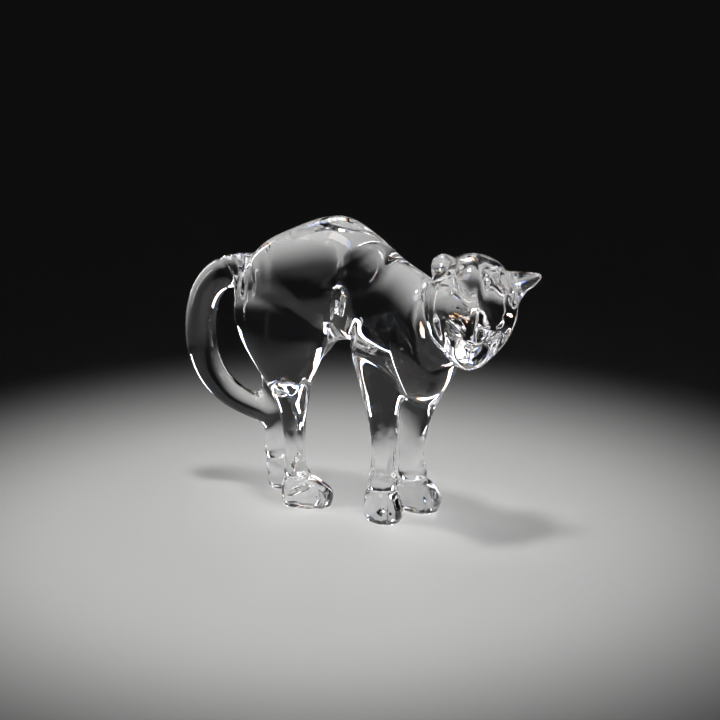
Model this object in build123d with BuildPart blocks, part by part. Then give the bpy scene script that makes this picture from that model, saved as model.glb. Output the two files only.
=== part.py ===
"""Clear lead-crystal figurine of a standing cat with an arched back.

The finished figurine is one continuous mass. It is modelled as the gathers and bits of hot crystal
that such a figure can be built up from: the body, the head, two ears, the tail, four legs and four
paws. Each is a solid of its own here, and the solids meet face to face. Folds in the glass show joins
at the neck, the ears and the ends of the tail. The planes at the shoulders, knees and ankles are
assumed.

+X is the way the cat stands, +Y is its left, +Z is up. The soles stand on Z = 0, and the origin is
under the middle of the whole figure. The body's own mid-plane is set off from it by BODY_SHIFT,
because the head looks out over the cat's right shoulder. All sizes are in millimetres.
"""

import os

from build123d import *

os.makedirs("parts", exist_ok=True)

# Where the body's mid-plane and its middle stand in the frame.
BODY_SHIFT = Vector(1, 5.2, 0)

# Fusion heights: the legs meet the body, and the paws meet the legs, on level planes.
SHOULDER_Z = 56.0
KNEE_Z = 50.0
ANKLE_Z = 15.0

# How far each side's limbs stand from the mid-plane. The right side is -Y.
RIGHT_Y = -10.5
LEFT_Y = 9.0

# Body: upright ellipses across X as (x, top, bottom, half width), from the rump to the chest.
BODY = [
    (-61, 117, 92, 11),
    (-52, 122.5, 84, 18),
    (-38, 132.0, 79, 21),
    (-22, 139.2, 78, 21),
    (-6, 141.0, 83, 18.5),
    (9, 132.5, 79, 19),
    (22, 123.0, 63, 21),
    (34, 116.5, 59, 20.5),
    (43, 110.0, 64, 17),
    (49, 100.0, 74, 10),
]

# Haunches and shoulders: level ellipses as (z, x, half length, half width), from the top down.
# The last one is the face that the leg meets.
RIGHT_HAUNCH = [
    (106, -36, 17, 8),
    (94, -37, 23.5, 12.5),
    (82, -35, 22.5, 12.5),
    (70, -33.8, 16.2, 11.3),
    (60, -32, 11, 9.2),
    (KNEE_Z, -30.3, 7.6, 7.2),
]
LEFT_HAUNCH = [
    (106, -36, 17, 8),
    (94, -38, 24, 12.5),
    (82, -38, 23.5, 12.5),
    (70, -40.5, 17.5, 11.3),
    (60, -44.5, 12.3, 9.2),
    (KNEE_Z, -47.8, 8, 7.2),
]
RIGHT_SHOULDER = [
    (108, 19, 11, 7),
    (96, 19, 17, 11.5),
    (82, 17.5, 16.5, 11.5),
    (68, 17, 12, 10.5),
    (SHOULDER_Z, 16.3, 9, 8.3),
]
LEFT_SHOULDER = [
    (108, 22, 11, 7),
    (96, 26, 17, 11.5),
    (82, 29, 17.5, 11.5),
    (68, 29.5, 13.5, 10.5),
    (SHOULDER_Z, 27.2, 10, 8.3),
]

# Legs below the fusion planes: level ellipses as (z, x, half length, half width), to the ankle.
LEGS = {
    "front_right": [
        (44, 17.2, 6.8, 6.6),
        (33, 17.3, 6.1, 6),
        (23, 16.9, 6.6, 6.3),
        (ANKLE_Z, 16.2, 8.2, 7.4),
    ],
    "front_left": [
        (44, 25, 7.4, 6.8),
        (33, 23.2, 6.4, 6.2),
        (23, 22.8, 6.4, 6.2),
        (ANKLE_Z, 24, 7.8, 7.2),
    ],
    "hind_right": [
        (41, -29.9, 6, 6),
        (30, -29.4, 5, 5.2),
        (22, -29.4, 5.2, 5.5),
        (ANKLE_Z, -28.6, 7, 6.8),
    ],
    "hind_left": [
        (41, -49.4, 6.2, 6),
        (30, -50, 5.2, 5.4),
        (22, -49.8, 5.3, 5.6),
        (ANKLE_Z, -48.6, 7, 6.8),
    ],
}

# Paws: (turn about the ankle in degrees, + to the cat's left; how far the heel and the toes reach
# from the ankle's middle; width).
PAWS = {
    "front_right": (-30, 10.2, 12.3, 17),
    "front_left": (-6, 8.6, 14.4, 17),
    "hind_right": (14, 7.8, 18.2, 15.5),
    "hind_left": (8, 5.6, 17, 15.5),
}
# The paw's outline at the sole and at the instep is an ellipse; these draw it in from the full size.
INSTEP_HEIGHT = 9.0
INSTEP_SET_BACK = 0.8
END_INSET = 1.0
INSTEP_SIDE_INSET = 0.3
SOLE_SIDE_INSET = 0.8
SOLE_SET_BACK = 0.5
# Toes: the middle one reaches furthest, and each outer one is set back by a share of its side offset.
TOE_COUNT = 3
TOE_RADIUS = 5.5
TOE_LIFT = 5.4
TOE_SET_BACK = 0.25

# Tail: (x, y, z, radius) along its middle line, from inside the rump, out and down, and back to
# the knee of the left hind leg.
TAIL = [
    (-54, 0, 108, 10.5),
    (-61, 0, 109.5, 9),
    (-69, 0, 109, 8.0),
    (-77.5, 0, 103.5, 7.6),
    (-83.4, 0, 93, 7.5),
    (-85.5, 0, 80, 7.5),
    (-85.0, 0.5, 68, 7.5),
    (-81.4, 1.5, 57.5, 7.3),
    (-75, 2.5, 49.5, 6.9),
    (-66.8, 4, 44, 6.5),
    (-58.5, 6, 40.3, 6.2),
    (-51, 8, 38, 5.5),
]

# Head: its middle, and how it is turned out to the right, tipped down and tilted to the left.
HEAD_MIDDLE = (61, -13, 107)
HEAD_TURN = 62
HEAD_TIP = 11
HEAD_TILT = 11

# Head: ellipses across the line of sight as (ahead, up, half width, half height).
HEAD = [
    (-22, 5, 12, 12),
    (-16, 4.5, 17.5, 17.5),
    (-6, 3, 20.6, 20.8),
    (3, 0, 20, 21),
    (9, -3.5, 16.3, 18),
    (14, -8, 12, 13.5),
    (18, -10.8, 8.5, 8.5),
    (21, -11.8, 4.5, 4.5),
]

# Neck: where it starts inside the chest, as a point and a half width and half height, and the
# fusion plane between body and head, with the neck's half width and half height there.
NECK_START = (26, 0, 92)
NECK_START_SIZE = (15, 20)
NECK_MIDDLE = (47, -5, 100)
NECK_TURN = 37
NECK_LIFT = 11
NECK_SIZE = (16.5, 19)

# Jaw: the head's rim stands this much proud of the neck at the fusion plane, and is drawn from
# there into the skull, to an ellipse given as (ahead, up, half width, half height).
JAW_RIM = 1.5
JAW_ROOT = (5, -3, 13, 14)

# Ears, from the head's middle as (left, up, ahead): the root, the tip, and the half width and half
# depth of the root. The right ear is short and rounded, the left one is drawn out to a point: each
# tapers along its length as (share of the length, share of the root's size).
EARS = {
    "right": ((-7, 11, -4), (-15.2, 25.5, -4), (7.6, 5)),
    "left": ((11, 8.5, -4), (31, 17.8, -4), (10, 5.5)),
}
EAR_TAPER = {
    "right": [(0, 1), (0.5, 0.95), (0.85, 0.65), (1, 0.3)],
    "left": [(0, 1), (0.5, 0.66), (0.85, 0.3), (1, 0.14)],
}


def body_point(x, y, z):
    """A point given from the body's mid-plane, in the frame."""
    return Vector(x, y, z) + BODY_SHIFT


def level(x, y, z):
    """A level plane whose middle is over that point of the body."""
    return Plane(body_point(x, y, z))


def save(sub_part, name):
    """Names a finished sub-part and writes its STEP file."""
    sub_part.label = name
    export_step(sub_part, f"parts/{name}.step")


def looking(middle, turn, tip, tilt=0):
    """A plane that faces where the head looks: local X is the cat's left and local Y is up."""
    ahead = Vector(1, 0, 0).rotate(Axis.Y, tip).rotate(Axis.Z, -turn)
    left = Vector(0, 1, 0).rotate(Axis.Z, -turn)
    facing = Plane(body_point(*middle), x_dir=left, z_dir=ahead)
    return facing.rotated((0, 0, -tilt))


face = looking(HEAD_MIDDLE, HEAD_TURN, HEAD_TIP, HEAD_TILT)
neck = looking(NECK_MIDDLE, NECK_TURN, -NECK_LIFT)
side_y = {"right": RIGHT_Y, "left": LEFT_Y}
stubs = {
    "hind_right": RIGHT_HAUNCH,
    "hind_left": LEFT_HAUNCH,
    "front_right": RIGHT_SHOULDER,
    "front_left": LEFT_SHOULDER,
}

# --- Body, with the haunches and the shoulders drawn out of it ---------------------------------
with BuildPart() as torso:
    for x, top, bottom, half_width in BODY:
        section = Plane(body_point(x, 0, (top + bottom) / 2), x_dir=(0, 1, 0), z_dir=(1, 0, 0))
        with BuildSketch(section):
            Ellipse(half_width, (top - bottom) / 2)
    loft()
    for limb, sections in stubs.items():
        y = side_y[limb.split("_")[1]]
        for z, x, half_length, half_width in sections:
            with BuildSketch(level(x, y, z)):
                Ellipse(half_length, half_width)
        loft()
    # The neck is drawn out of the chest, up to the fusion plane.
    with BuildSketch(Plane(body_point(*NECK_START), x_dir=(0, 1, 0), z_dir=(1, 0, 0))):
        Ellipse(*NECK_START_SIZE)
    with BuildSketch(neck):
        Ellipse(*NECK_SIZE)
    loft()
    split(bisect_by=neck, keep=Keep.BOTTOM)
save(torso.part, "torso")

# --- Legs: from the fusion plane to the ankle ---------------------------------------------------
legs = {}
for limb, sections in LEGS.items():
    y = side_y[limb.split("_")[1]]
    with BuildPart() as leg:
        for z, x, half_length, half_width in [stubs[limb][-1]] + sections:
            with BuildSketch(level(x, y, z)):
                Ellipse(half_length, half_width)
        loft()
    legs[limb] = leg.part
    save(leg.part, f"{limb}_leg")

# --- Paws: an instep over a flat sole, with three round toes ------------------------------------
for limb, (turn, heel, toe_reach, width) in PAWS.items():
    y = side_y[limb.split("_")[1]]
    ankle_z, ankle_x, half_length, half_width = LEGS[limb][-1]
    sole = level(ankle_x, y, 0).rotated((0, 0, turn))
    middle = (toe_reach - heel) / 2
    half_sole = (toe_reach + heel) / 2
    with BuildPart() as paw:
        with BuildSketch(level(ankle_x, y, ankle_z)):
            Ellipse(half_length, half_width)
        with BuildSketch(sole.offset(INSTEP_HEIGHT)):
            with Locations((middle * INSTEP_SET_BACK, 0)):
                Ellipse(half_sole - END_INSET, width / 2 - INSTEP_SIDE_INSET)
        with BuildSketch(sole):
            with Locations((middle - SOLE_SET_BACK, 0)):
                Ellipse(half_sole - END_INSET, width / 2 - SOLE_SIDE_INSET)
        loft()
        for toe in range(TOE_COUNT):
            side = (toe / (TOE_COUNT - 1) - 0.5) * (width - 2 * TOE_RADIUS)
            toe_x = toe_reach - TOE_RADIUS - abs(side) * TOE_SET_BACK
            with Locations(sole.offset(TOE_LIFT) * Location((toe_x, side, 0))):
                Sphere(TOE_RADIUS)
        split(bisect_by=Plane.XY, keep=Keep.TOP)
    save(paw.part, f"{limb}_paw")

# --- Tail: round all the way, fused to the rump and to the left hind leg ------------------------
tail_points = [body_point(x, y, z) for x, y, z, radius in TAIL]
with BuildPart() as tail:
    for index, (x, y, z, radius) in enumerate(TAIL):
        before = tail_points[max(index - 1, 0)]
        after = tail_points[min(index + 1, len(TAIL) - 1)]
        with BuildSketch(Plane(tail_points[index], x_dir=(0, 1, 0), z_dir=after - before)):
            Circle(radius)
    loft()
    add(torso.part, mode=Mode.SUBTRACT)
    add(legs["hind_left"], mode=Mode.SUBTRACT)
save(tail.part, "tail")

# --- Head: the skull and muzzle, and the jaw that laps the neck ---------------------------------
with BuildPart() as head:
    for ahead, up, half_width, half_height in HEAD:
        with BuildSketch(face.offset(ahead)):
            with Locations((0, up)):
                Ellipse(half_width, half_height)
    loft()
    with BuildSketch(neck):
        Ellipse(NECK_SIZE[0] + JAW_RIM, NECK_SIZE[1] + JAW_RIM)
    with BuildSketch(face.offset(JAW_ROOT[0])):
        with Locations((0, JAW_ROOT[1])):
            Ellipse(*JAW_ROOT[2:])
    loft()
    split(bisect_by=neck, keep=Keep.TOP)
save(head.part, "head")

# --- Ears: drawn out to a point, each fused to the top of the skull ------------------------------
for side, (root, tip, (half_width, half_depth)) in EARS.items():
    root_point = face.from_local_coords(Vector(*root))
    tip_point = face.from_local_coords(Vector(*tip))
    along = tip_point - root_point
    with BuildPart() as ear:
        for share, scale in EAR_TAPER[side]:
            with BuildSketch(Plane(root_point + along * share, x_dir=face.x_dir, z_dir=along)):
                Ellipse(half_width * scale, half_depth * scale)
        loft()
        add(head.part, mode=Mode.SUBTRACT)
    save(ear.part, f"{side}_ear")
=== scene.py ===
"""Looks for a crystal figurine of a standing cat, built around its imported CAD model.

The thirteen CAD solids are turned into distance fields, fused into one skin as hot glass fuses, and
given their face, ears, toes and swirls by pushing that field in and out. The skin is then cut along
the planes where the gathers of glass meet, so that each CAD node has a closed piece that stands for it.
Everything is in metres, in the frame of the CAD model.
"""

import math

import bmesh
import bpy
import numpy as np
import openvdb
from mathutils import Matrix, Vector


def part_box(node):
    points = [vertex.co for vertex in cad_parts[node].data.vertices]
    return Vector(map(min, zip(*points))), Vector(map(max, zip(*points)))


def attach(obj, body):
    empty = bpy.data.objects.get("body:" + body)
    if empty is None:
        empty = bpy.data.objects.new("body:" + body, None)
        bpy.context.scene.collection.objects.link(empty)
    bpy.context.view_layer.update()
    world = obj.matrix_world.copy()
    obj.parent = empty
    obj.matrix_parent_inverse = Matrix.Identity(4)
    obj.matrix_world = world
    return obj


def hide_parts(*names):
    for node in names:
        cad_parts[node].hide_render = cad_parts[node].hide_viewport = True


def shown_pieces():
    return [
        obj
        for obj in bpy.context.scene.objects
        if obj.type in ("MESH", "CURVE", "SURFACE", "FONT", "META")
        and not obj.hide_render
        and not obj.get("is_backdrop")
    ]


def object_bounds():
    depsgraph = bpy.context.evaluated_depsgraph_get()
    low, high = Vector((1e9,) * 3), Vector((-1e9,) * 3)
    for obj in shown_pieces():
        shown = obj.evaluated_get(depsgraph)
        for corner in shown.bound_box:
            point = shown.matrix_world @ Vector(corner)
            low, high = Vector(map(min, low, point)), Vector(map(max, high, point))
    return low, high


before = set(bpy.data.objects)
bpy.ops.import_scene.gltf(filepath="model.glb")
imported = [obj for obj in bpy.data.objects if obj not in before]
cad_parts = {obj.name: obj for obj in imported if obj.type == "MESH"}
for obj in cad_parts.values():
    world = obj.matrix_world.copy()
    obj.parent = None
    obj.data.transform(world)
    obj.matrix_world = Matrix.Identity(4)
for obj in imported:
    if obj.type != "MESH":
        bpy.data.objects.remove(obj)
cad_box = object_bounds()

MM = 0.001

# Resolution of the distance field, and how far from each surface it is known.
VOXEL = 0.5 * MM
BAND = 9 * MM
MARGIN = 6 * MM

# How softly the gathers flow into each other, and how far the surface is polished.
HEAD_JOIN = 2.5 * MM
TAIL_JOIN = 5 * MM
EAR_JOIN = 2.5 * MM
POLISH = 1.3 * MM
LAST_POLISH = 0.6 * MM

# The soles: below this height the paws go straight down while they are polished, and are then cut off
# just above the floor with a rounded edge.
SOLE_HEIGHT = 1.2 * MM
SOLE_GAP = 0.06 * MM
SOLE_ROUND = 1.0 * MM

# Where the steps between the bodies and the legs are evened out: how far, and over which heights.
STEP_BLUR = 4 * MM
STEPS_BOTTOM = 40 * MM
STEPS_TOP = 82 * MM
STEPS_FADE = 9 * MM

# Strokes on the skin: the step along the rays that find it, how far away the rays of a view start, how
# long they and the rays from inside a limb are, and how many widths a stroke is felt for.
RAY_STEP = 0.4 * MM
VIEW_AWAY = 60 * MM
VIEW_RAY = 120 * MM
RING_RAY = 40 * MM
STROKE_REACH = 2.5

# Points closer to a seam's plane than this lie on it.
SNAP = 1e-8

LIMBS = ["front_left", "front_right", "hind_left", "hind_right"]
X, Y, Z = np.eye(3)


# --- The field: a block of distances, negative inside the glass -----------------------------------
class Field:
    """Signed distances on a regular grid over the whole figure."""

    def __init__(self, low, high):
        self.low = np.array(low) - MARGIN
        cells = np.ceil((np.array(high) + MARGIN - self.low) / VOXEL).astype(int) + 1
        self.shape = tuple(int(c) for c in cells)
        self.values = np.full(self.shape, BAND, np.float32)

    def axis(self, index):
        return (self.low[index] + VOXEL * np.arange(self.shape[index])).astype(np.float32)

    def solid(self, node):
        """Distances to one CAD node's solid."""
        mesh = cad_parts[node].data
        mesh.calc_loop_triangles()
        points = np.zeros(len(mesh.vertices) * 3, np.float32)
        mesh.vertices.foreach_get("co", points)
        corners = np.zeros(len(mesh.loop_triangles) * 3, np.int32)
        mesh.loop_triangles.foreach_get("vertices", corners)
        steps = (points.reshape(-1, 3) - self.low) / VOXEL
        grid = openvdb.FloatGrid.createLevelSetFromPolygons(
            steps.astype(np.float32),
            triangles=corners.reshape(-1, 3).astype(np.uint32),
            transform=openvdb.createLinearTransform(1.0),
            halfWidth=BAND / VOXEL,
        )
        values = np.zeros(self.shape, np.float32)
        grid.copyToArray(values)
        return values * np.float32(VOXEL)

    def window(self, low, high):
        """The part of the grid between two corners, as slices and as coordinate arrays."""
        first = np.floor((np.array(low) - self.low) / VOXEL).astype(int)
        last = np.ceil((np.array(high) - self.low) / VOXEL).astype(int) + 1
        first = np.clip(first, 0, np.array(self.shape) - 1)
        last = np.clip(last, 1, self.shape)
        slices = tuple(slice(int(a), int(b)) for a, b in zip(first, last))
        axes = [self.axis(i)[slices[i]] for i in range(3)]
        return slices, np.meshgrid(*axes, indexing="ij", sparse=True)

    def blur(self, sigma, axes=(0, 1, 2)):
        """Softens every crease, as fire polishing does."""
        reach = int(math.ceil(3 * sigma / VOXEL))
        steps = np.arange(-reach, reach + 1)
        weights = np.exp(-0.5 * (steps * VOXEL / sigma) ** 2)
        weights = (weights / weights.sum()).astype(np.float32)
        for axis in axes:
            padding = [(0, 0)] * 3
            padding[axis] = (reach, reach)
            padded = np.pad(self.values, padding, mode="edge")
            total = np.zeros(self.shape, np.float32)
            for step, weight in zip(steps, weights):
                part = [slice(None)] * 3
                part[axis] = slice(reach + step, reach + step + self.shape[axis])
                total += weight * padded[tuple(part)]
            self.values = total

    def stretch(self, sigma, bottom, top, fade):
        """Evens out how limbs swell and narrow with height, between two levels."""
        height = self.axis(2)
        share = np.clip((height - bottom) / fade, 0, 1) * np.clip((top - height) / fade, 0, 1)
        before = self.values
        self.blur(sigma, axes=(2,))
        self.values = before + share * (self.values - before)

    def sample(self, points):
        """The distance at each point, between the grid's own."""
        steps = (points - self.low) / VOXEL
        cell = np.clip(np.floor(steps).astype(int), 0, np.array(self.shape) - 2)
        share = steps - cell
        total = np.zeros(len(points))
        for corner in np.ndindex(2, 2, 2):
            weight = np.prod(np.where(corner, share, 1 - share), axis=1)
            total += weight * self.values[tuple((cell + corner).T)]
        return total

    def slope(self, points):
        """The direction in which the distance grows fastest, and how fast."""
        columns = []
        for axis in range(3):
            step = np.zeros(3)
            step[axis] = VOXEL
            columns.append((self.sample(points + step) - self.sample(points - step)) / (2 * VOXEL))
        return np.stack(columns, axis=1)

    def skin(self):
        """The surface of the glass: points that lie on it, and four-sided faces."""
        grid = openvdb.FloatGrid(background=float(BAND))
        grid.copyFromArray(self.values)
        steps, _, quads = grid.convertToPolygons(isovalue=0.0, adaptivity=0.0)
        points = steps * VOXEL + self.low
        # A few Newton steps take the points onto the surface itself.
        for _ in range(3):
            slope = self.slope(points)
            steepness = np.maximum(np.sum(slope * slope, axis=1), 0.1)
            points = points - slope * (self.sample(points) / steepness)[:, None]
        return points, quads


def join(a, b, width):
    """Union of two fields with a fillet of about that width."""
    overlap = np.clip(width - np.abs(a - b), 0, None)
    return np.minimum(a, b) - overlap * overlap / (4 * width)


def cut(a, b, width):
    """What is inside both fields, with a rounded edge of about that width."""
    return -join(-a, -b, width)


BODY_SHIFT = np.array([1, 5.2, 0]) * MM
HEAD_MIDDLE = np.array([61, -13, 107]) * MM + BODY_SHIFT
NECK_MIDDLE = np.array([47, -5, 100]) * MM + BODY_SHIFT


def looking(turn, tip, tilt=0):
    """Axes of a head turned to its right, tipped down and tilted to its left: left, up and ahead."""
    turn, tip, tilt = (math.radians(angle) for angle in (turn, tip, tilt))
    ahead = np.array([math.cos(tip) * math.cos(turn), -math.cos(tip) * math.sin(turn), -math.sin(tip)])
    level = np.array([math.sin(turn), math.cos(turn), 0])
    upright = np.cross(ahead, level)
    left = math.cos(tilt) * level - math.sin(tilt) * upright
    up = math.cos(tilt) * upright + math.sin(tilt) * level
    return left, up, ahead


HEAD_LEFT, HEAD_UP, HEAD_AHEAD = looking(62, 11, 11)
NECK_LEFT, NECK_UP, NECK_AHEAD = looking(37, -11)


def in_head(left, up, ahead):
    """A point given in millimetres from the head's middle."""
    return HEAD_MIDDLE + (left * HEAD_LEFT + up * HEAD_UP + ahead * HEAD_AHEAD) * MM


# --- The gathers, fused and polished --------------------------------------------------------------
field = Field(*cad_box)
for node in ["torso"] + [f"{limb}_{piece}" for limb in LIMBS for piece in ("leg", "paw")]:
    field.values = np.minimum(field.values, field.solid(node))
field.values = join(field.values, field.solid("head"), HEAD_JOIN)
field.values = join(field.values, field.solid("tail"), TAIL_JOIN)
ground = int(round((SOLE_HEIGHT - field.low[2]) / VOXEL))
field.values[:, :, :ground] = field.values[:, :, ground:ground + 1]
field.stretch(STEP_BLUR, STEPS_BOTTOM, STEPS_TOP, STEPS_FADE)
field.blur(POLISH)
for node in ("left_ear", "right_ear"):
    field.values = join(field.values, field.solid(node), EAR_JOIN)


# --- Tooling marks: strokes that press the skin in or draw it out ---------------------------------
def touch(starts, ways, length=VIEW_RAY):
    """Where each ray first goes through the skin, from outside or from inside."""
    starts, ways = np.atleast_2d(starts), np.atleast_2d(ways)
    reach = np.arange(0, length, RAY_STEP)
    rays = starts[:, None] + ways[:, None] * reach[None, :, None]
    inside = field.sample(rays.reshape(-1, 3)).reshape(rays.shape[:2]) < 0
    changed = inside[:, 1:] != inside[:, :1]
    first = np.where(changed.any(axis=1), changed.argmax(axis=1), 0)
    return rays[np.arange(len(rays)), first]


def flowing(marks, step):
    """Points a step apart along a smooth line through the marks."""
    marks = np.array(marks, float)
    ends = [2 * marks[0] - marks[1]], [2 * marks[-1] - marks[-2]]
    guide = np.concatenate([ends[0], marks, ends[1]])
    line = []
    for a, b, c, d in zip(guide, guide[1:], guide[2:], guide[3:]):
        count = max(2, int(np.linalg.norm(c - b) / step))
        for share in np.arange(count) / count:
            line.append(b + share * (c - a + share * (2 * a - 5 * b + 4 * c - d
                        + share * (3 * b - a - 3 * c + d))) / 2)
    return np.array(line + [marks[-1]])


class View:
    """A side that strokes are drawn from, in millimetres across and up.

    The rays start that far away on the viewer's side, which is where "towards" points.
    """

    def __init__(self, middle, across, up, towards, away=VIEW_AWAY):
        self.middle, self.across, self.up = (np.array(item, float) for item in (middle, across, up))
        self.towards = np.array(towards, float)
        self.away = away

    def point(self, across, up):
        """Where one mark lands on the skin."""
        start = self.middle + across * MM * self.across + up * MM * self.up
        return touch(start + self.away * self.towards, -self.towards)[0]

    def line(self, marks, step):
        """Points on the skin under a smooth line through the marks."""
        marks = flowing(marks, step / MM) * MM
        starts = self.middle + marks[:, :1] * self.across + marks[:, 1:] * self.up
        return touch(starts + self.away * self.towards, np.broadcast_to(-self.towards, starts.shape))


def around(side, turn=0):
    """The view from the cat's right (side -1) or left (side 1), turned that many degrees to its front."""
    turn = math.radians(turn)
    across = (math.cos(turn), -side * math.sin(turn), 0)
    towards = (math.sin(turn), side * math.cos(turn), 0)
    return View((0, 0, 0), across, Z, towards)


FACE = View(HEAD_MIDDLE, HEAD_LEFT, HEAD_UP, HEAD_AHEAD)
RIGHT_SIDE, LEFT_SIDE = around(-1), around(1)
RIGHT_FRONT, LEFT_FRONT = around(-1, 25), around(1, 25)


def press(line, width, depth, fades=True):
    """Presses a groove that many millimetres wide and deep, or draws out a ridge if depth is negative."""
    width, reach = width * MM, STROKE_REACH * width * MM
    outer, _ = field.window(line.min(axis=0) - reach, line.max(axis=0) + reach)
    strongest = np.zeros([part.stop - part.start for part in outer], np.float32)
    for share, point in zip(np.linspace(0, 1, len(line)), line):
        near, (x, y, z) = field.window(point - reach, point + reach)
        inner = tuple(slice(a.start - b.start, a.stop - b.start) for a, b in zip(near, outer))
        strength = min(1, 0.1 + 4 * min(share, 1 - share)) if fades else 1
        gap = (x - point[0]) ** 2 + (y - point[1]) ** 2 + (z - point[2]) ** 2
        strongest[inner] = np.maximum(strongest[inner], strength * np.exp(-gap / width**2))
    field.values[outer] += depth * MM * strongest


def draw(view, marks, width, depth, sink=0):
    """Draws a stroke on the skin, or that many millimetres under it for a deeper groove."""
    press(view.line(marks, 0.5 * width * MM) - sink * MM * view.towards, width, depth)


def dab(point, width, depth):
    """Presses one round hollow, or draws out a bump if depth is negative."""
    press(np.atleast_2d(point), width, depth, fades=False)


def both(marks):
    """The marks on the left half of the face, and the same on the right."""
    return [marks, [(-left, up) for left, up in marks]]


def ring(middle, across, up, width, depth):
    """Presses a groove around a limb, or draws out a rim if depth is negative."""
    angles = np.radians(np.arange(0, 361, 6))[:, None]
    ways = np.cos(angles) * across + np.sin(angles) * up
    line = touch(np.broadcast_to(middle, ways.shape), ways, RING_RAY)
    press(line, width, depth, fades=False)


# Face, drawn from the front as (left, up) from the head's middle.
# Eye sockets.
for left in (8.6, -8.6):
    dab(FACE.point(left, -0.8), 5.0, 1.0)
# Brows, the straight nose, and a furrow up the forehead.
for marks in both([(2.0, 2.6), (6, 4.2), (11, 4.0), (15, 1.0)]):
    draw(FACE, marks, 2.6, -0.8)
draw(FACE, [(0, 8), (0, 3), (0, -2), (0, -5.5)], 2.8, -1.3)
draw(FACE, [(0, 22), (0, 16), (0, 11), (0, 8)], 2.6, 0.7)
# Pads beside the nose, and the chin.
for marks in both([(3.0, -9.8), (4.6, -11.6)]):
    draw(FACE, marks, 4.2, -1.5)
draw(FACE, [(-2, -17.0), (0, -17.6), (2, -17.0)], 3.8, -0.8)
# A groove around each cheek.
for marks in both([(15.2, -0.5), (14.4, -4.5), (12.4, -9.0), (10.2, -13.5)]):
    draw(FACE, marks, 2.6, 1.3)

# Ears, hollowed from the front.
draw(FACE, [(-11.5, 17.5), (-13.8, 21.5)], 3.2, 2.6)
draw(FACE, [(14.5, 11.5), (19, 13.6), (23, 15.2)], 2.6, 2.2)

# The ruff: the jaw laps the neck in a raised rim, with a crease behind it.
RIM_AHEAD = 1.6 * MM
ring(NECK_MIDDLE + RIM_AHEAD * NECK_AHEAD, NECK_LEFT, NECK_UP, 1.9, -1.3)
ring(NECK_MIDDLE - RIM_AHEAD * NECK_AHEAD, NECK_LEFT, NECK_UP, 1.5, 1.0)

# Ankles: a crease around each. The paws are given by the point on the floor under the ankle, and by
# how many degrees they turn to the left.
PAWS = [
    (np.array([16.2, -10.5, 0]) * MM + BODY_SHIFT, -30),
    (np.array([24, 9, 0]) * MM + BODY_SHIFT, -6),
    (np.array([-28.6, -10.5, 0]) * MM + BODY_SHIFT, 14),
    (np.array([-48.6, 9, 0]) * MM + BODY_SHIFT, 8),
]
ankle_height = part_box("front_right_paw")[1][2]
for foot, _ in PAWS:
    ring(foot + ankle_height * Z, X, Y, 1.3, 0.9)

# Tail root: swirls where its gather was twisted onto the rump.
for marks in (
    [(-70, 118), (-63, 116.5), (-57, 111), (-55, 103)],
    [(-73, 116), (-66, 113.5), (-61, 108), (-60, 101)],
    [(-64, 119), (-57, 117), (-51.5, 111), (-50, 102)],
    [(-58, 121), (-51.5, 118), (-46.5, 111), (-46, 103)],
):
    for view in (RIGHT_SIDE, LEFT_SIDE):
        draw(view, marks, 1.4, 1.25)

# Muscles: the front edge of each haunch and the back edge of each shoulder.
for view in (RIGHT_SIDE, LEFT_SIDE):
    draw(view, [(-12, 118), (-8, 108), (-8.5, 98), (-12, 84)], 4.5, 1.6)
    draw(view, [(2, 92), (3, 102), (8, 112), (16, 118)], 3.5, 1.2)

# Heels: a fold runs up each hind paw to the ankle, with a hollow under it.
for view, heel in ((RIGHT_FRONT, -26), (LEFT_FRONT, -46)):
    draw(view, [(heel - 7.5, 6.0), (heel - 3, 10.5), (heel + 1, 12.3), (heel + 6.5, 14.5)], 1.5, -1.0)
    draw(view, [(heel - 6, 3.5), (heel, 8.2), (heel + 6, 10.6)], 2.4, 0.8)

# Shins: folds drawn down the front legs and short ridges above the paws, then the hind legs' hocks.
for view, leg, hock in ((RIGHT_FRONT, 13.4, -29.5), (LEFT_FRONT, 19.5, -49.0)):
    draw(view, [(leg - 2.4, 64), (leg - 1.6, 50), (leg - 1.0, 36), (leg - 1.4, 25)], 1.6, 1.3, 0.6)
    draw(view, [(leg + 4.0, 54), (leg + 3.4, 42), (leg + 3.8, 29)], 1.4, 1.2, 0.6)
    for offset in (-4.5, -1.2, 2.4, 5.4):
        draw(view, [(leg + offset, 17.5), (leg + 0.9 * offset, 24)], 1.4, -0.9)
    knee = [(hock - 6, 70), (hock - 4.5, 61), (hock - 0.5, 56.5), (hock + 3.5, 60), (hock + 6, 69)]
    draw(view, knee, 1.8, 1.1)
    draw(view, [(hock - 1, 55), (hock - 0.5, 45), (hock + 0.5, 35)], 1.8, -0.7)
field.blur(LAST_POLISH)

# Muzzle: each half has one flat, turned to its own side and leaning back a little.
FLAT_TURN, FLAT_LEAN = math.radians(10), math.radians(12)
FLAT_REACH, FLAT_DEPTH, FLAT_EDGE = 9 * MM, 0.9 * MM, 1.4 * MM
for side in (-1, 1):
    top = FACE.point(side * 2.6, -14.4)
    outward = math.cos(FLAT_TURN) * HEAD_AHEAD + side * math.sin(FLAT_TURN) * HEAD_LEFT
    normal = math.cos(FLAT_LEAN) * outward + math.sin(FLAT_LEAN) * HEAD_UP
    middle = top - FLAT_DEPTH * normal
    near, places = field.window(middle - FLAT_REACH, middle + FLAT_REACH)
    gaps = [axis - start for axis, start in zip(places, middle)]
    beyond = sum(gap * way for gap, way in zip(gaps, normal))
    away = np.sqrt(sum(gap**2 for gap in gaps)) - FLAT_REACH
    field.values[near] = cut(field.values[near], -np.maximum(-beyond, away), FLAT_EDGE)

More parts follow.
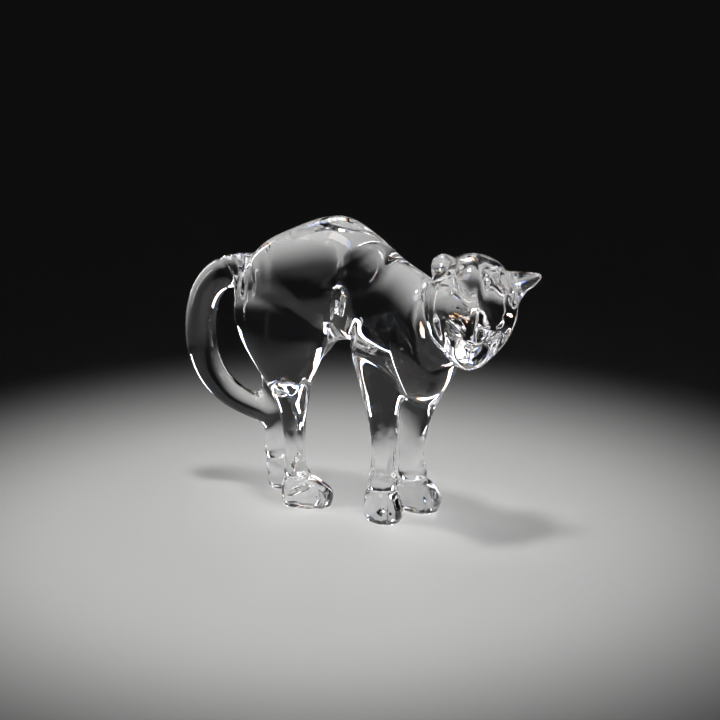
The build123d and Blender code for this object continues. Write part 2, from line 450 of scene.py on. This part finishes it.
# Eyes, nose and mouth, cut after the last polish.
for marks in both([(4.4, -3.5), (8.2, -2.5), (12.2, -0.8)]):
    draw(FACE, marks, 0.9, 1.2)
for marks in both([(4.0, -2.2), (7.6, 0.1), (12.8, 0.9)]):
    draw(FACE, marks, 1.0, -0.5)
for marks in both([(4.8, -4.9), (9.0, -4.7), (13.0, -2.4)]):
    draw(FACE, marks, 1.0, -0.4)
draw(FACE, [(-2.6, -7.0), (-1.2, -8.4), (0, -8.9), (1.2, -8.4), (2.6, -7.0)], 0.8, 0.9)
draw(FACE, [(0, -8.6), (0, -12.2)], 0.9, 0.8)
for marks in both([(0, -12.2), (2.4, -13.8), (5.0, -14.0)]):
    draw(FACE, marks, 0.9, 0.35)

# Three toes on each paw, parted by two grooves. The rays start near the paw, to miss the others.
TOE_SPREAD, TOE_AWAY = 28, 28 * MM
for foot, turn in PAWS:
    for spread in (-TOE_SPREAD, TOE_SPREAD):
        angle = math.radians(turn + spread)
        ahead = (math.cos(angle), math.sin(angle), 0)
        toes = View(foot, (-math.sin(angle), math.cos(angle), 0), Z, ahead, TOE_AWAY)
        draw(toes, [(0, 12), (0, 8), (0, 4), (0, 0.3)], 1.0, 2.2, 0.9)
field.values = cut(field.values, SOLE_GAP - field.axis(2)[None, None, :], SOLE_ROUND)

# --- The skin, cut where the gathers of glass meet ------------------------------------------------
TAIL_ROOT = np.array([-64, 0, 108]) * MM + BODY_SHIFT
TAIL_END = np.array([-58.5, 6, 40.5]) * MM + BODY_SHIFT
# Ears as root, tip and how far up from the root the seam is, in the head's own millimetres.
EARS = [((-7, 11, -4), (-15.2, 25.5, -4), 0.62), ((11, 8.5, -4), (31, 17.8, -4), 0.42)]
NECK_REACH, TAIL_ROOT_REACH, TAIL_END_REACH = 30 * MM, 14 * MM, 12 * MM
EAR_REACH, LIMB_REACH = 14 * MM, 17 * MM

# Each seam as a middle, the way across it, and how far around the middle the skin is cut.
SEAMS = [
    (NECK_MIDDLE, NECK_AHEAD, NECK_REACH),
    (TAIL_ROOT, -X, TAIL_ROOT_REACH),
    (TAIL_END, -X, TAIL_END_REACH),
]
for root, tip, share in EARS:
    root, tip = in_head(*root), in_head(*tip)
    SEAMS.append((root + share * (tip - root), (tip - root) / np.linalg.norm(tip - root), EAR_REACH))
for limb in LIMBS:
    for piece in ("leg", "paw"):
        low, high = np.array(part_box(f"{limb}_{piece}"))
        SEAMS.append((np.array([*(low + high)[:2] / 2, high[2]]), Z, LIMB_REACH))


def crossing(points, quads, middle, normal, reach):
    """Indices of the faces that a fusion plane passes through near its middle."""
    depth = (points - middle) @ normal
    near = np.linalg.norm(points - middle, axis=1) < reach
    across = (depth[quads].min(axis=1) <= 0) & (depth[quads].max(axis=1) > 0)
    return np.nonzero(across & near[quads].all(axis=1))[0]


def open_seams(points, quads):
    """The skin as a mesh whose faces no longer share edges along the fusion planes."""
    mesh = bpy.data.meshes.new("skin")
    mesh.from_pydata(points.tolist(), [], quads.tolist())
    skin = bmesh.new()
    skin.from_mesh(mesh)
    bpy.data.meshes.remove(mesh)
    skin.faces.ensure_lookup_table()
    rings = [[skin.faces[i] for i in crossing(points, quads, *seam)] for seam in SEAMS]
    for faces, (middle, normal, reach) in zip(rings, SEAMS):
        edges = {edge for face in faces for edge in face.edges}
        verts = {vert for face in faces for vert in face.verts}
        found = bmesh.ops.bisect_plane(
            skin, geom=[*verts, *edges, *faces], dist=SNAP, plane_co=middle, plane_no=normal
        )
        loop = [item for item in found["geom_cut"] if isinstance(item, bmesh.types.BMEdge)]
        bmesh.ops.split_edges(skin, edges=loop)
    return skin


def islands(skin):
    """The connected parts of the skin, as lists of faces."""
    skin.faces.index_update()
    seen = set()
    for start in skin.faces:
        if start in seen:
            continue
        seen.add(start)
        part = [start]
        for face in part:
            for edge in face.edges:
                for other in edge.link_faces:
                    if other not in seen:
                        seen.add(other)
                        part.append(other)
        yield part


def closed(part):
    """Points, faces and the number of skin faces of one part, with a flat fan over each open ring."""
    number = {}
    faces = []
    for face in part:
        faces.append([number.setdefault(vert, len(number)) for vert in face.verts])
    points = [vert.co.copy() for vert in number]
    directed = {(a, b) for face in faces for a, b in zip(face, face[1:] + face[:1])}
    after = {b: a for a, b in directed if (b, a) not in directed}
    skin_count = len(faces)
    while after:
        rim = [next(iter(after))]
        while (step := after.pop(rim[-1])) != rim[0]:
            rim.append(step)
        centre = len(points)
        points.append(sum((points[i] for i in rim), Vector()) / len(rim))
        faces += [[a, b, centre] for a, b in zip(rim, rim[1:] + rim[:1])]
    return points, faces, skin_count


def piece_for(node, part, glass, seam):
    """The closed piece of polished glass that stands for a CAD node."""
    points, faces, skin_count = closed(part)
    mesh = bpy.data.meshes.new(node)
    mesh.from_pydata(points, [], faces)
    mesh.materials.append(glass)
    mesh.materials.append(seam)
    mesh.polygons.foreach_set("material_index", [int(i >= skin_count) for i in range(len(faces))])
    mesh.shade_smooth()
    normals = field.slope(np.array([list(point) for point in points]))
    normals /= np.linalg.norm(normals, axis=1)[:, None]
    corners = np.zeros(len(mesh.loops), int)
    mesh.loops.foreach_get("vertex_index", corners)
    mesh.normals_split_custom_set(normals[corners].tolist())
    piece = bpy.data.objects.new(f"{node}_glass", mesh)
    bpy.context.scene.collection.objects.link(piece)
    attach(piece, "root")
    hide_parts(node)
    return piece


# --- Materials ------------------------------------------------------------------------------------
def principled(name, **values):
    """A node material and its Principled shader, with these sockets set."""
    material = bpy.data.materials.new(name)
    material.use_nodes = True
    shader = material.node_tree.nodes["Principled BSDF"]
    for socket, value in values.items():
        shader.inputs[socket.replace("_", " ")].default_value = value
    return material, shader


def noise(nodes, links, scale, **values):
    """A noise texture in the object's own metres."""
    place = nodes.new("ShaderNodeTexCoord")
    texture = nodes.new("ShaderNodeTexNoise")
    texture.inputs["Scale"].default_value = scale
    for socket, value in values.items():
        texture.inputs[socket].default_value = value
    links.new(place.outputs["Object"], texture.inputs["Vector"])
    return texture


def bump(nodes, strength, distance):
    """A bump of that strength, for a height of that distance."""
    node = nodes.new("ShaderNodeBump")
    node.inputs["Strength"].default_value = strength
    node.inputs["Distance"].default_value = distance
    return node


def crystal():
    """Lead crystal: clear, fire-polished, with faint waves and drawn-out cords in it."""
    material, shader = principled("crystal", Base_Color=(0.985, 0.99, 0.99, 1), Transmission_Weight=1.0,
                                  IOR=1.55)
    nodes, links = material.node_tree.nodes, material.node_tree.links
    waves = noise(nodes, links, 55, Detail=1.0)
    cords = noise(nodes, links, 160, Detail=2.0, Distortion=1.5)
    low = bump(nodes, 0.25, 0.6 * MM)
    high = bump(nodes, 0.12, 0.12 * MM)
    links.new(waves.outputs["Fac"], low.inputs["Height"])
    links.new(cords.outputs["Fac"], high.inputs["Height"])
    links.new(low.outputs["Normal"], high.inputs["Normal"])
    links.new(high.outputs["Normal"], shader.inputs["Normal"])
    # Handling leaves the polish a little softer in patches.
    polish = nodes.new("ShaderNodeMapRange")
    polish.inputs["From Min"].default_value = 0.45
    polish.inputs["From Max"].default_value = 0.8
    polish.inputs["To Max"].default_value = 0.035
    links.new(waves.outputs["Fac"], polish.inputs["Value"])
    links.new(polish.outputs["Result"], shader.inputs["Roughness"])
    return material


glass = crystal()
seam, _ = principled("fused_seam", Alpha=0.0)

# --- Pieces ---------------------------------------------------------------------------------------
points, quads = field.skin()
skin = open_seams(points, quads)
waiting = {name: (Vector(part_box(name)[0]) + Vector(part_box(name)[1])) / 2 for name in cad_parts}
for part in islands(skin):
    middle = sum((face.calc_center_median() for face in part), Vector()) / len(part)
    node = min(waiting, key=lambda name: (waiting[name] - middle).length)
    waiting.pop(node)
    piece_for(node, part, glass, seam)
skin.free()
if waiting:
    raise ValueError(f"no glass was cut out for {sorted(waiting)}")

# --- Stage ----------------------------------------------------------------------------------------
# From the middle of the floor to its edges.
FLOOR = 3.0
floor_mesh = bpy.data.meshes.new("floor")
corners = [(-FLOOR, -FLOOR, 0), (FLOOR, -FLOOR, 0), (FLOOR, FLOOR, 0), (-FLOOR, FLOOR, 0)]
floor_mesh.from_pydata(corners, [], [(0, 1, 2, 3)])
floor = bpy.data.objects.new("floor", floor_mesh)
bpy.context.scene.collection.objects.link(floor)
pale, _ = principled("pale_floor", Base_Color=(0.8, 0.8, 0.79, 1), Roughness=0.6)
floor_mesh.materials.append(pale)
floor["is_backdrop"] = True


def aim(name, light, at, towards):
    """Places a lamp so that it faces a point."""
    lamp = bpy.data.objects.new(name, light)
    lamp.location = at
    lamp.rotation_euler = (Vector(towards) - Vector(at)).to_track_quat("-Z", "Y").to_euler()
    bpy.context.scene.collection.objects.link(lamp)
    return lamp


def direction(azimuth, elevation):
    """The way out from the cat's right side, turned to its front by the azimuth and up by the elevation."""
    azimuth, elevation = math.radians(azimuth), math.radians(elevation)
    return Vector((math.sin(azimuth) * math.cos(elevation), -math.cos(azimuth) * math.cos(elevation),
                   math.sin(elevation)))


# What the camera looks at and most lamps face.
AIM = Vector((1.0, 5.2, 73.3)) * MM
# Lead crystal spreads light into colours: each panel is white, with one warm and one blue edge.
SPECTRUM = [
    (0.0, (1.0, 0.45, 0.12, 1)),
    (0.18, (1, 1, 1, 1)),
    (0.82, (1, 1, 1, 1)),
    (1.0, (0.1, 0.3, 1.0, 1)),
]


def softbox(name, azimuth, elevation, distance, width, height, radiance, middle=AIM, lit=None):
    """A soft panel that only the glass picks up, so that the floor keeps its even pool of light.

    A panel for certain pieces shows as a reflection on them, but not through the glass.
    """
    light = bpy.data.lights.new(name, "AREA")
    light.shape = "RECTANGLE"
    light.size, light.size_y = width, height
    light.energy = radiance * math.pi * width * height
    light.use_nodes = True
    nodes, links = light.node_tree.nodes, light.node_tree.links
    place = nodes.new("ShaderNodeTexCoord")
    part = nodes.new("ShaderNodeSeparateXYZ")
    colours = nodes.new("ShaderNodeValToRGB")
    for _ in range(2):
        colours.color_ramp.elements.new(0.5)
    for element, (at, colour) in zip(colours.color_ramp.elements, SPECTRUM):
        element.position = at
        element.color = colour
    links.new(place.outputs["UV"], part.inputs["Vector"])
    links.new(part.outputs["X"], colours.inputs["Fac"])
    links.new(colours.outputs["Color"], nodes["Emission"].inputs["Color"])
    lamp = aim(name, light, middle + distance * direction(azimuth, elevation), middle)
    lamp.visible_transmission = lit is None
    lamp.light_linking.receiver_collection = lit or glass_pieces


def collected(name, items):
    """A collection for light linking."""
    collection = bpy.data.collections.new(name)
    for item in items:
        collection.objects.link(item)
    return collection


def pool_lamp(name):
    """The soft spot that makes the pool of light on the floor."""
    pool = bpy.data.lights.new(name, "SPOT")
    pool.energy = 12
    pool.spot_size = math.radians(27)
    pool.spot_blend = 0.55
    pool.shadow_soft_size = 0.07
    return aim(name, pool, (-0.05, -0.12, 1.0), (0.0, -0.03, 0.0))


glass_pieces = collected("glass_pieces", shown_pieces())
head_nodes = ("head", "left_ear", "right_ear")
head_pieces = collected("head_pieces", [bpy.data.objects[f"{node}_glass"] for node in head_nodes])
floor_only = collected("floor_only", [floor])

# Clear glass lets much of the light through. Only one of two equal spots is blocked by it, so its
# shadow is half dark.
pool_lamp("pool")
pool_lamp("pool_through").light_linking.blocker_collection = floor_only

# Panels as azimuth, elevation, distance, width, height and radiance.
softbox("back", -142, 45, 0.75, 0.45, 0.3, 5)
softbox("back_left", -116, 10, 0.8, 0.12, 0.5, 7)
softbox("back_right", 166, 12, 0.8, 0.12, 0.5, 7)
softbox("left_strip", -68, 6, 0.65, 0.06, 0.35, 7)
softbox("right_strip", 95, 10, 0.65, 0.06, 0.35, 7)
softbox("key", 14, 7, 0.6, 0.3, 0.14, 12, lit=head_pieces)
softbox("chin_panel", 11, -14, 0.24, 0.26, 0.09, 22, middle=Vector(HEAD_MIDDLE), lit=head_pieces)
softbox("top", -10, 62, 0.7, 0.3, 0.2, 5)

# A dark room, and enough bounces for light to find its way through the glass.
world = bpy.data.worlds.new("studio")
world.use_nodes = True
world.node_tree.nodes["Background"].inputs["Color"].default_value = (0.005, 0.005, 0.0055, 1)
bpy.context.scene.world = world
bpy.context.scene.view_settings.view_transform = "Standard"
cycles = bpy.context.scene.cycles
cycles.transparent_max_bounces = 64
cycles.max_bounces = 24
cycles.transmission_bounces = 24
cycles.glossy_bounces = 8
cycles.diffuse_bounces = 4

# --- Camera ---------------------------------------------------------------------------------------
AZIMUTH, ELEVATION, DISTANCE, VIEW = 25, 17, 0.96, 20
lens = bpy.data.cameras.new("camera")
lens.angle = math.radians(VIEW)
camera = bpy.data.objects.new("camera", lens)
back = direction(AZIMUTH, ELEVATION)
camera.location = AIM + back * DISTANCE
camera.rotation_euler = back.to_track_quat("Z", "Y").to_euler()
bpy.context.scene.collection.objects.link(camera)
bpy.context.scene.camera = camera

low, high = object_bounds()
